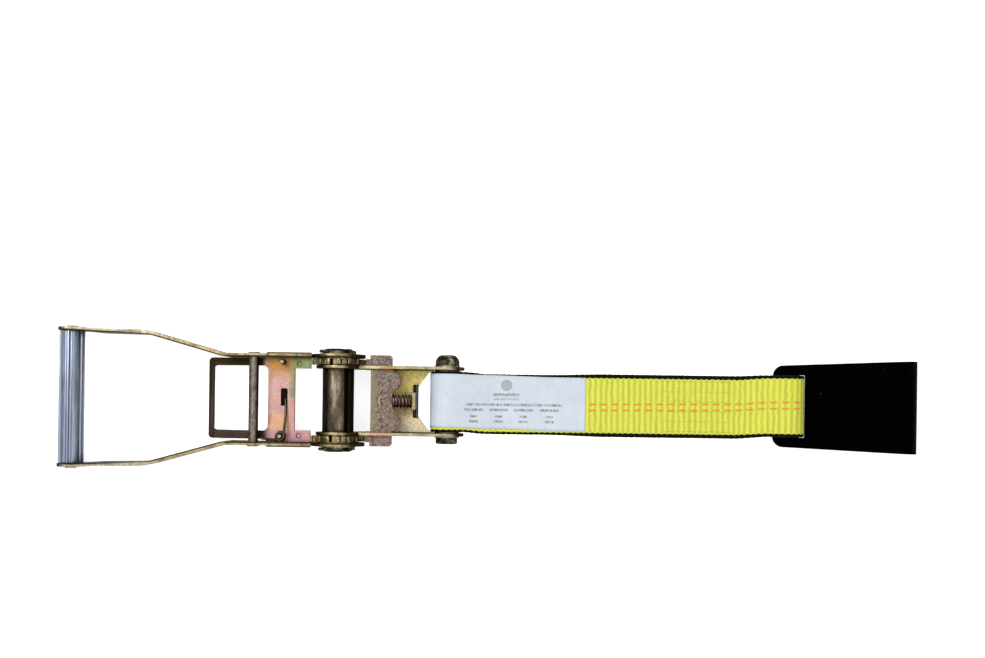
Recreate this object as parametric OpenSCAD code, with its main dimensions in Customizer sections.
// Ratchet tie down: ratchet opened flat in its release position, with a short
// sewn strap on the ratchet bolt and a flat hook at the strap's far end.
// Units are millimetres, +Z up, +X from the handle to the hook.

/* [Webbing] */
// Width of the strap webbing
webbing_width = 50; // [45:0.5:52]
// Thickness of one layer of webbing
webbing_thickness = 2.8; // [1.5:0.1:3.5]
// Width of the sewn label
label_width = 43.5; // [30:0.5:48]
// Thickness of the sewn label
label_thickness = 0.45; // [0.2:0.05:1]
// Length of the label measured from the bolt
label_length = 111.6; // [60:0.1:150]

/* [Handle] */
// Distance from the spindle to the grip
grip_reach = 218.4; // [150:0.1:240]
// Radius of the grip tube
grip_radius = 9.8; // [9:0.1:10.6]
// Number of groove pairs round the grip
grip_pairs = 5; // [3:1:7]
// Thickness of the handle arms
arm_thickness = 2.8; // [2:0.1:4]
// Half width of the handle over the spindle
arm_inner_half = 33.6; // [33:0.1:36]
// Half width of the handle over the grip, inside the arms
grip_half = 53.4; // [45:0.1:55]
// Radius of the handle round the spindle
handle_disc_radius = 21.5; // [18:0.1:22]

/* [Ratchet] */
// Height of the spindle axis above the ground
spindle_height = 24; // [22:0.5:30]
// Radius of the split spindle
spindle_radius = 12.5; // [10:0.1:13]
// Width of the webbing slot in the spindle
spindle_slot = 4.4; // [3:0.1:6]
// Angle of the webbing slot from upright
slot_angle = 42; // [0:1:45]
// Number of gear teeth
teeth = 16; // [12:4:16]
// Gear radius over the teeth
gear_radius = 21.6; // [20:0.1:22]
// Radius at the bottom of the teeth
gear_root = 17.3; // [16:0.1:18]
// Thickness of the pawl plates
pawl_thickness = 3.5; // [2.5:0.1:4]
// Distance from the spindle to each pawl's tip
pawl_tip = 21.9; // [21.8:0.1:24]

/* [Frame] */
// Thickness of the base plates
base_thickness = 2.6; // [2:0.1:3]
// Half distance between the base plates
base_half = 25.2; // [25:0.1:27]
// Distance from the spindle to the strap bolt
bolt_x = 86.7; // [80:0.1:95]
// Height of the strap bolt
bolt_z = 18; // [15:0.5:20]
// Radius of the frame's end round the bolt
bolt_end_radius = 13.7; // [12:0.1:15]

/* [Hook] */
// Distance from the spindle to the hook's crossbar
hook_x = 360.4; // [300:0.1:400]
// Height of the hook's crossbar
hook_z = 14; // [13:0.1:16]
// Tilt of the hook plate, resting on its lip
hook_tilt = 13; // [0:0.5:20]
// Thickness of the hook plate
hook_thickness = 5; // [4:0.1:6]

/* [Hidden] */
$fn = 96;
// the row is centred on its length
shift = -116.9;
eps = 0.05;
az = spindle_height;
// height of the grip, whose arms rest on the ground
gz = 10.7;
// outer ends of the split spindle
end_y = 40.9;
pin_at = 38.75;
fit = 0.05;
arm_outer_half = arm_inner_half + arm_thickness;
base_outer = base_half + base_thickness;
gear_in = base_outer + 0.5;
gear_out = gear_in + 4.3;
pt = pawl_thickness;
slot_clear = 0.45;
wt = webbing_thickness;
// inner radius of the strap's loop at the bolt and at the hook
loop_in = 10.5;
bar_in = 11.2;
// the two strap layers lie on each other between these two stations
join_a = 128;
join_b = 322;
strap_half = wt + 0.02;

// ---------- helpers ----------
module place() { translate([shift, 0, 0]) children(); }
// a profile drawn in X and Z, carried along Y from y0 to y1
module along_y(y0, y1) {
  translate([0, y1, 0]) rotate([90, 0, 0]) linear_extrude(y1 - y0) children();
}
module pin_y(r, y0, y1, x, z) {
  translate([x, y0, z]) rotate([-90, 0, 0]) cylinder(r = r, h = y1 - y0);
}
module rounded(x0, y0, x1, y1, r) {
  union() {
    translate([x0 + r, y0]) square([x1 - x0 - 2 * r, y1 - y0]);
    translate([x0, y0 + r]) square([x1 - x0, y1 - y0 - 2 * r]);
    for (x = [x0 + r, x1 - r]) for (y = [y0 + r, y1 - r]) translate([x, y]) circle(r);
  }
}
// where a line from point p touches a circle, on the side given by s
function touch(c, r, p, s) =
  let (q = r - 0.04, d = p - c, l = norm(d), a = atan2(d[1], d[0]) + s * acos(q / l))
  c + q * [cos(a), sin(a)];

// sweep of a round wire along points, as one closed mesh
function unit(v) = v / norm(v);
function dir_at(p, i) =
  unit(p[min(i + 1, len(p) - 1)] - p[max(i - 1, 0)]);
function side_at(t) =
  let (u = abs(t[2]) < 0.8 ? [0, 0, 1] : [1, 0, 0]) unit(cross(t, u));
// side directions carried along the wire without twist
function carry(s, t) = unit(s - (s * t) * t);
function sides(p) = [for (i = 0, s = side_at(dir_at(p, 0)); i < len(p);
  i = i + 1, s = carry(s, dir_at(p, min(i, len(p) - 1)))) s];
module wire(p, r, n = 8) {
  m = len(p);
  sd = sides(p);
  pts = [for (i = [0 : m - 1])
    let (t = dir_at(p, i), a = sd[i], b = cross(t, a))
    for (k = [0 : n - 1]) p[i] + r * (cos(360 * k / n) * a + sin(360 * k / n) * b)];
  faces = concat(
    [[for (k = [0 : n - 1]) k]],
    [[for (k = [0 : n - 1]) (m - 1) * n + n - 1 - k]],
    [for (i = [0 : m - 2]) for (k = [0 : n - 1])
      [i * n + k, (i + 1) * n + k, (i + 1) * n + (k + 1) % n]],
    [for (i = [0 : m - 2]) for (k = [0 : n - 1])
      [i * n + k, (i + 1) * n + (k + 1) % n, i * n + (k + 1) % n]]);
  polyhedron(pts, faces, convexity = 10);
}

// ---------- base ----------
module base_side() {
  difference() {
    union() {
      translate([0, az]) circle(17.5);
      polygon([[0, 8], [-6, 7.6], [4, 2], [9, 0], [66, 0], [84, 5.2], [bolt_x, 12],
        [bolt_x, bolt_z + bolt_end_radius - 0.2], [44, 31.4], [34, 31], [17.2, 28.6], [10, 36]]);
      translate([bolt_x, bolt_z]) circle(bolt_end_radius);
    }
    translate([0, az]) circle(spindle_radius + fit);
    translate([bolt_x, bolt_z]) circle(5 + fit);
    // slot for the lock pawl's ears
    translate([17.9, az - pt / 2 - slot_clear]) square([30, pt + 2 * slot_clear]);
  }
}
module base_frame() {
  color([0.72, 0.66, 0.36]) place() difference() {
    union() {
      for (s = [0, 1]) mirror([0, s, 0]) along_y(base_half, base_outer) base_side();
      // web across the bottom, with a notch on the strap side
      linear_extrude(base_thickness) polygon([[24, -base_half - 0.5], [75, -base_half - 0.5],
        [75, -24.2], [70.6, -23.4], [62.4, -12.5], [62.4, 12.5], [70.6, 23.4], [75, 24.2],
        [75, base_half + 0.5], [24, base_half + 0.5]]);
      // upright tab that seats the lock spring
      translate([59.4, -13, 0]) cube([base_thickness, 26, 21]);
      translate([59.4, -7, 20]) cube([base_thickness, 14, 9]);
    }
    // bend relief along the lower outside edges
    for (s = [-1, 1]) translate([40, s * base_outer, 0]) rotate([45, 0, 0])
      cube([120, 1.4, 1.4], center = true);
    // hole for the spring's pilot
    translate([59, 0, az]) rotate([0, 90, 0]) cylinder(r = 1.6, h = 4);
  }
}
module base_bolt() {
  color([0.6, 0.6, 0.52]) place() union() {
    pin_y(5, -30, 37.4, bolt_x, bolt_z);
    intersection() {
      translate([bolt_x, -33.9, bolt_z]) rotate([-90, 30, 0]) cylinder(r = 9.8, h = 5.1, $fn = 6);
      // rounded outer corners of the head
      translate([bolt_x, -33.9, bolt_z]) rotate([-90, 0, 0]) rotate_extrude()
        polygon([[0, 0], [7.4, 0], [8.7, 0.6], [9.5, 1.7], [9.9, 3], [9.9, 5.1], [0, 5.1]]);
    }
  }
}
// six flats running into a domed collar
module nut_profile() {
  intersection() {
    cylinder(r = 9.8, h = 8.2, $fn = 6);
    rotate_extrude() polygon([[0, 0], [9.9, 0], [9.9, 2.6], [9.5, 4], [8.9, 5.4], [8.1, 6.6],
      [7.2, 7.6], [6.4, 8.2], [0, 8.2]]);
  }
}
module lock_nut() {
  color([0.66, 0.66, 0.58]) place() difference() {
    translate([bolt_x, 28.8, bolt_z]) rotate([-90, 12, 0]) nut_profile();
    pin_y(5.06, 28, 38, bolt_x, bolt_z);
    pin_y(6.4, 34.9, 36.3, bolt_x, bolt_z);
  }
}
module nut_insert() {
  color([0.12, 0.22, 0.5]) place() difference() {
    pin_y(6.35, 34.95, 36.25, bolt_x, bolt_z);
    pin_y(5.06, 34, 38, bolt_x, bolt_z);
  }
}
module ring_y(ro, ri, y0, y1, x, z) {
  difference() {
    pin_y(ro, y0, y1, x, z);
    pin_y(ri, y0 - 1, y1 + 1, x, z);
  }
}
module bolt_washer() {
  color([0.7, 0.66, 0.5]) place() ring_y(10, 5.1, -28.75, -27.85, bolt_x, bolt_z);
}
module nut_washer() {
  color([0.7, 0.66, 0.5]) place() ring_y(10, 5.1, 27.85, 28.75, bolt_x, bolt_z);
}
module spacer_tube() {
  color([0.55, 0.53, 0.46]) place() ring_y(10, 5.1, -25.1, 25.1, bolt_x, bolt_z);
}

// ---------- handle ----------
module arm_side() {
  difference() {
    union() {
      translate([0, az]) circle(handle_disc_radius);
      polygon([[0, az + 18], [-12, az + 12], [-20.6, az + 6], [-30, az + 9], [-45, az + 12],
        [-70, az + 13], [-92, az + 12.5], [-154, az + 6], [-grip_reach + 1, 2 * gz],
        [-grip_reach + 1, 0], [-150, 0], [-92, 3.5], [-60, 6.5], [-30, 7], [-10, 5]]);
      translate([-grip_reach, gz]) circle(gz);
    }
    translate([0, az]) circle(spindle_radius + fit);
    // slot for the drive pawl's ear
    translate([-63.8, az - pt / 2 - slot_clear]) square([45.7, pt + 2 * slot_clear]);
    translate([-66, az + 7]) circle(3.81);
    translate([-grip_reach, gz]) circle(4.56);
  }
}
// the arm seen from above, bent twice between the spindle and the grip
module arm_plan() {
  i = arm_inner_half;
  g = grip_half;
  t = arm_thickness;
  polygon([[30, i], [-88.9, i], [-91.6, i + 0.4], [-148, g - 3.65], [-151.4, g - 2.65],
    [-156.8, g - 1.9], [-195, g - 1.1], [-207, g], [-235, g + 0.5], [-235, g + t + 0.5],
    [-206.8, g + t], [-194.8, g + t - 1.1], [-157, g + t - 1.9], [-151.8, g + t - 2.5],
    [-148.8, g + t - 3.3], [-92.6, i + t + 0.75], [-88.2, i + t], [30, i + t]]);
}
module arm() {
  intersection() {
    linear_extrude(50) arm_plan();
    along_y(30, 60) arm_side();
  }
}
module arm_left() { color([0.72, 0.68, 0.36]) place() arm(); }
module arm_right() { color([0.72, 0.68, 0.36]) place() mirror([0, 1, 0]) arm(); }
module grip() {
  color([0.66, 0.7, 0.78]) place()
  translate([-grip_reach, grip_half - 0.2, gz]) rotate([90, 0, 0])
  linear_extrude(2 * grip_half - 0.4) difference() {
    circle(grip_radius);
    // broad flutes between pairs of narrow grooves
    for (k = [0 : grip_pairs - 1]) for (d = [0, 24.5]) rotate(k * 360 / grip_pairs + 2 + d)
      translate([grip_radius + 0.4, 0]) circle(1.5);
    circle(4.56);
  }
}
module headed_rod(x, z, r, half, head_r, head_t) {
  union() {
    pin_y(r, -half, half, x, z);
    for (s = [0, 1]) mirror([0, s, 0]) {
      pin_y(head_r, half, half + head_t * 0.6, x, z);
      translate([x, half + head_t * 0.6, z]) rotate([-90, 0, 0])
        cylinder(r1 = head_r, r2 = head_r - head_t * 0.5, h = head_t * 0.4);
    }
  }
}
module grip_rod() {
  color([0.6, 0.58, 0.45]) place() headed_rod(-grip_reach, gz, 4.5, grip_half + arm_thickness + 0.25, 4.9, 1.2);
}
module cross_rod() {
  color([0.5, 0.48, 0.42]) place() headed_rod(-66, az + 7, 3.8, arm_outer_half + 0.02, 4.7, 0.9);
}

// ---------- drive pawl ----------
module drive_pawl_plan() {
  difference() {
    union() {
      rounded(-105.9, -31.6, -50, 33.2, 4);
      translate([-57, -37.9]) square([57 - pawl_tip, 75.8]);
    }
    // opening between the legs, over the spindle
    translate([-34.6, -24.4]) square([20, 49.4]);
    // finger opening
    rounded(-102.3, -24.9, -55.7, 27, 4.2);
  }
}
module drive_pawl_side() {
  polygon([[-10, az + pt / 2], [-57.2, az + pt / 2], [-99.9, az - 5.7], [-103.7, az - 6.9],
    [-105.6, az - 8.6], [-105.9, az - 10.5], [-105.9, az - 15.5], [-102.4, az - 15.5],
    [-102.4, az - 11.4], [-103, az - 10.3], [-57.8, az - pt / 2], [-10, az - pt / 2]]);
}
module drive_pawl() {
  color([0.72, 0.5, 0.42]) place() difference() {
    intersection() {
      linear_extrude(50) drive_pawl_plan();
      along_y(-40, 40) drive_pawl_side();
    }
    // shallow pocket that holds the spring's long leg
    translate([0, 0, az + pt / 2 - 1.6]) linear_extrude(3) rounded(-45.5, -5, -40.1, 9, 1.2);
    // stamped dimples beside the spring posts
    for (s = [-1, 1]) translate([-31, s * 28.6, az + pt / 2 - 0.8]) cylinder(r = 1.9, h = 2);
  }
}
module spring_post(x, y) {
  translate([x, y, az + pt / 2 + 0.02]) union() {
    cylinder(r = 2.05, h = 7.2);
    translate([0, 0, 7.2]) cylinder(r1 = 2.05, r2 = 1.3, h = 0.8);
  }
}
module spring_post_left() { color([0.68, 0.6, 0.35]) place() spring_post(-43.5, 29.8); }
module spring_post_right() { color([0.68, 0.6, 0.35]) place() spring_post(-44.9, -29.1); }
// torsion spring round the right post: a short leg back to the cross rod, a few
// turns, and a long leg across the pawl that drops into its pocket
function drive_path() =
  let (cx = -44.9, cy = -29.1, z0 = az + pt / 2 + 1.1, r = 3.2)
  concat(
    [[-61.1, -30.9, z0 + 1.4], [-57.6, -31.5, z0 + 1.2], [-51, -32.05, z0 + 0.3],
     [-46.4, -32.25, z0]],
    [for (a = [-80 : 20 : 720]) [cx + r * cos(a), cy + r * sin(a), z0 + 4.9 * (a + 80) / 800]],
    [[-41.5, -25, z0 + 4.8], [-41.2, -18.6, z0 + 3.2], [-41.1, -12, z0 + 1.2],
     [-41.1, -6.8, z0 + 0.3], [-41.3, -3.6, z0 - 0.1], [-41.6, -1.6, z0 - 1.1],
     [-41.8, 0.4, z0 - 1.5]]);
module drive_spring() { color([0.35, 0.3, 0.28]) place() wire(drive_path(), 0.98, 8); }

// ---------- spindle ----------
module half_moon(r, gap) {
  difference() {
    circle(r);
    translate([-r - 1, -r - 1]) square([r + 1 + gap / 2, 2 * r + 2]);
  }
}
module shaft(turn) {
  difference() {
    intersection() {
      translate([0, -end_y, az]) rotate([-90, 0, 0]) rotate(slot_angle + turn)
        linear_extrude(2 * end_y) half_moon(spindle_radius, spindle_slot);
      // turned down at both ends
      translate([0, -end_y, az]) rotate([-90, 0, 0]) rotate_extrude() polygon([[0, 0],
        [spindle_radius - 2.2, 0], [spindle_radius - 0.6, 1.1], [spindle_radius + 0.2, 2.6],
        [spindle_radius + 0.2, 2 * end_y - 2.6], [spindle_radius - 0.6, 2 * end_y - 1.1],
        [spindle_radius - 2.2, 2 * end_y], [0, 2 * end_y]]);
    }
    for (s = [-1, 1]) translate([0, s * pin_at, az]) rotate([0, 90 + slot_angle, 0])
      cylinder(r = 1.3, h = 40, center = true);
  }
}
module half_shaft_front() { color([0.5, 0.46, 0.4]) place() shaft(0); }
module half_shaft_rear() { color([0.5, 0.46, 0.4]) place() shaft(180); }
// one tooth gap, drawn for a pawl that comes from the left
module tooth_gap() {
  polygon([[-gear_root, 2], [-gear_radius - 1, 2], [-gear_radius - 1, -4.6],
    [-gear_radius - 0.2, -4], [-gear_root, -2]]);
}
module gear() {
  difference() {
    circle(gear_radius);
    for (k = [0 : teeth - 1]) rotate(k * 360 / teeth) tooth_gap();
    // two half-moon seats leave a bar that drives the shafts
    for (t = [0, 180]) rotate(-slot_angle + t) half_moon(spindle_radius + fit, spindle_slot - 0.1);
  }
}
module gear_at(y0, y1) { translate([0, 0, az]) along_y(y0, y1) gear(); }
module gear_left() { color([0.7, 0.6, 0.4]) place() gear_at(gear_in, gear_out); }
module gear_right() { color([0.7, 0.6, 0.4]) place() gear_at(-gear_out, -gear_in); }
module thrust_washer_left() {
  color([0.7, 0.66, 0.5]) place() ring_y(16.5, 12.55, gear_out + 0.1, 33.4, 0, az);
}
module thrust_washer_right() {
  color([0.7, 0.66, 0.5]) place() ring_y(16.5, 12.55, -33.4, -gear_out - 0.1, 0, az);
}
module end_washer_left() {
  color([0.74, 0.7, 0.42]) place() ring_y(14.4, 12.55, 36.55, 37.3, 0, az);
}
module end_washer_right() {
  color([0.74, 0.7, 0.42]) place() ring_y(14.4, 12.55, -37.3, -36.55, 0, az);
}
// cotter pin: hammered head and two ends folded apart against the shaft
module cotter(s) {
  translate([0, s * pin_at, az]) rotate([0, slot_angle, 0]) union() {
    translate([-14.35, 0, 0]) rotate([0, 90, 0]) cylinder(r = 1.15, h = 28.2);
    translate([13.85, 0, -2.6]) cylinder(r = 1.3, h = 5.2);
    translate([-14.35, 0, -4.2]) cylinder(r = 1.3, h = 9);
  }
}
module cotter_pin_left() { color([0.55, 0.52, 0.45]) place() cotter(1); }
module cotter_pin_right() { color([0.55, 0.52, 0.45]) place() cotter(-1); }

// ---------- lock pawl ----------
module lock_pawl_plan() {
  difference() {
    union() {
      // two rounded lobes towards the spring
      polygon([[26, -24.9], [42.8, -24.9], [45, -23], [48.3, -20.2], [49.9, -17.3], [49.7, -14.2],
        [47.6, -11], [44.8, -8], [43.3, -4.6], [43, 0], [43.3, 4.6], [44.8, 8], [47.6, 11],
        [49.7, 14.2], [49.9, 17.3], [48.3, 20.2], [45, 23], [42.8, 24.9], [26, 24.9]]);
      // ears pass through the base plates; their outer ends stand back from the handle
      difference() {
        translate([25.4, -36.4]) square([43.1 - 25.4, 72.8]);
        for (s = [-1, 1]) translate([43.1, s * 36.4]) rotate(45)
          square([2.4, 2.4], center = true);
      }
      translate([pawl_tip, -33.2]) square([20, 66.4]);
    }
    translate([10, -24.4]) square([16, 48.8]);
    // curved relief slit
    difference() {
      translate([37.5, 0]) circle(6);
      translate([39.3, 0]) circle(6);
      translate([28, 3.9]) square([20, 20]);
      translate([28, -23.9]) square([20, 20]);
    }
  }
}
module lock_pawl() {
  color([0.48, 0.42, 0.48]) place() union() {
    translate([0, 0, az - pt / 2]) linear_extrude(pt) lock_pawl_plan();
    // stub that centres the spring
    translate([42.5, 0, az]) rotate([0, 90, 0]) cylinder(r = 1.5, h = 4);
  }
}
function coil_x(x0, x1, r, turns, n) =
  [for (i = [0 : turns * n]) let (a = 360 * i / n)
    [x0 + (x1 - x0) * i / (turns * n), r * cos(a), az + r * sin(a)]];
module lock_spring() {
  color([0.62, 0.6, 0.52]) place() wire(coil_x(44.1, 58.5, 4.4, 6, 16), 0.75, 8);
}

// ---------- strap ----------
function strap_mid(x) = bolt_z + (hook_z - bolt_z) * (x - bolt_x) / (hook_x - bolt_x);
// angle at which a line from point p touches a circle
function touch_angle(c, r, p, s) =
  let (d = p - c) atan2(d[1], d[0]) + s * acos(r / norm(d));
function arc(c, r, a0, a1, n) =
  [for (i = [0 : n]) let (a = a0 + (a1 - a0) * i / n) c + r * [cos(a), sin(a)]];
// outline of the strap in X and Z, grown by g
module strap_outline(g) {
  pa = [join_a, strap_mid(join_a) + strap_half + g];
  qa = [join_a, strap_mid(join_a) - strap_half - g];
  pb = [join_b, strap_mid(join_b) + strap_half + g];
  qb = [join_b, strap_mid(join_b) - strap_half - g];
  c = [bolt_x, bolt_z];
  d = [hook_x, hook_z];
  r = loop_in + wt + g;
  q = bar_in + wt + g;
  polygon(concat([pa],
    arc(c, r, touch_angle(c, r, pa, 1), 360 + touch_angle(c, r, qa, -1), 32),
    [qa, qb],
    arc(d, q, touch_angle(d, q, qb, 1), touch_angle(d, q, pb, -1), 32),
    [pb]));
}
// the opening inside one loop, closing where the layers meet
module loop_opening(c, r, e) {
  union() {
    translate(c) circle(r);
    polygon([c, touch(c, r, e, 1), e, touch(c, r, e, -1)]);
  }
}
module webbing_side() {
  difference() {
    strap_outline(0);
    loop_opening([bolt_x, bolt_z], loop_in, [join_a - 3, strap_mid(join_a - 3)]);
    loop_opening([hook_x, hook_z], bar_in, [join_b + 3, strap_mid(join_b + 3)]);
  }
}
module webbing() {
  color([0.88, 0.88, 0.38]) place()
  along_y(-webbing_width / 2, webbing_width / 2) webbing_side();
}
module label() {
  color([0.85, 0.9, 0.93]) place() along_y(-20.7, label_width - 20.7) difference() {
    strap_outline(label_thickness + 0.02);
    strap_outline(0.02);
    translate([bolt_x + label_length, -20]) square([400, 80]);
    translate([bolt_x + 14, -20]) square([400, 20 + strap_mid(120)]);
  }
}
// rows of sewing thread behind each loop
module stitch_row(x0, x1, y, side) {
  tilt = atan2(hook_z - bolt_z, hook_x - bolt_x);
  translate([bolt_x, y, bolt_z]) rotate([0, -tilt, 0])
  translate([x0 - bolt_x, -0.4, side > 0 ? strap_half : -strap_half - 0.3])
    cube([x1 - x0, 0.8, 0.3]);
}
module stitching() {
  color([0.85, 0.85, 0.35]) place() {
    for (y = [-20, -12, -4, 4, 12, 20]) {
      stitch_row(258, 316, y, 1);
      stitch_row(258, 316, y, -1);
      stitch_row(134, 176, y, -1);
    }
  }
}

// ---------- hook ----------
hook_bend = 85.6;
module hook_side() {
  t = hook_thickness / 2;
  ro = 16;
  union() {
    translate([-10.3, -t]) square([hook_bend + 10.4, 2 * t]);
    translate([hook_bend, t - ro]) difference() {
      circle(ro);
      circle(ro - 2 * t);
      translate([-30, -30]) square([30, 60]);
    }
    translate([hook_bend - 20, t - 2 * ro]) square([20.1, 2 * t]);
  }
}
module hook_plan() {
  difference() {
    union() {
      polygon([[-10.3, -25], [-2.3, -33], [102.5, -37], [102.5, 37], [-2.3, 33], [-10.3, 25]]);
      for (s = [-1, 1]) translate([-2.3, s * 25]) circle(8);
    }
    rounded(10.2, -25.2, 14.5, 25.2, 0.8);
  }
}
module flat_hook() {
  color([0.12, 0.12, 0.14]) place() translate([hook_x, 0, hook_z]) rotate([0, -hook_tilt, 0])
  difference() {
    intersection() {
      along_y(-40, 40) hook_side();
      translate([0, 0, -50]) linear_extrude(100) hook_plan();
    }
    // rounded corners at the lip
    for (s = [-1, 1]) translate([hook_bend - 20.1, s * 40, -40]) difference() {
      translate([0, -12, 0]) cube([8, 24, 20]);
      translate([8, s * -11.6, -1]) cylinder(r = 8, h = 22);
    }
  }
}

base_frame();
base_bolt();
lock_nut();
nut_insert();
bolt_washer();
nut_washer();
spacer_tube();
arm_left();
arm_right();
grip();
grip_rod();
cross_rod();
drive_pawl();
spring_post_left();
spring_post_right();
drive_spring();
half_shaft_front();
half_shaft_rear();
gear_left();
gear_right();
thrust_washer_left();
thrust_washer_right();
end_washer_left();
end_washer_right();
cotter_pin_left();
cotter_pin_right();
lock_pawl();
lock_spring();
webbing();
label();
stitching();
flat_hook();
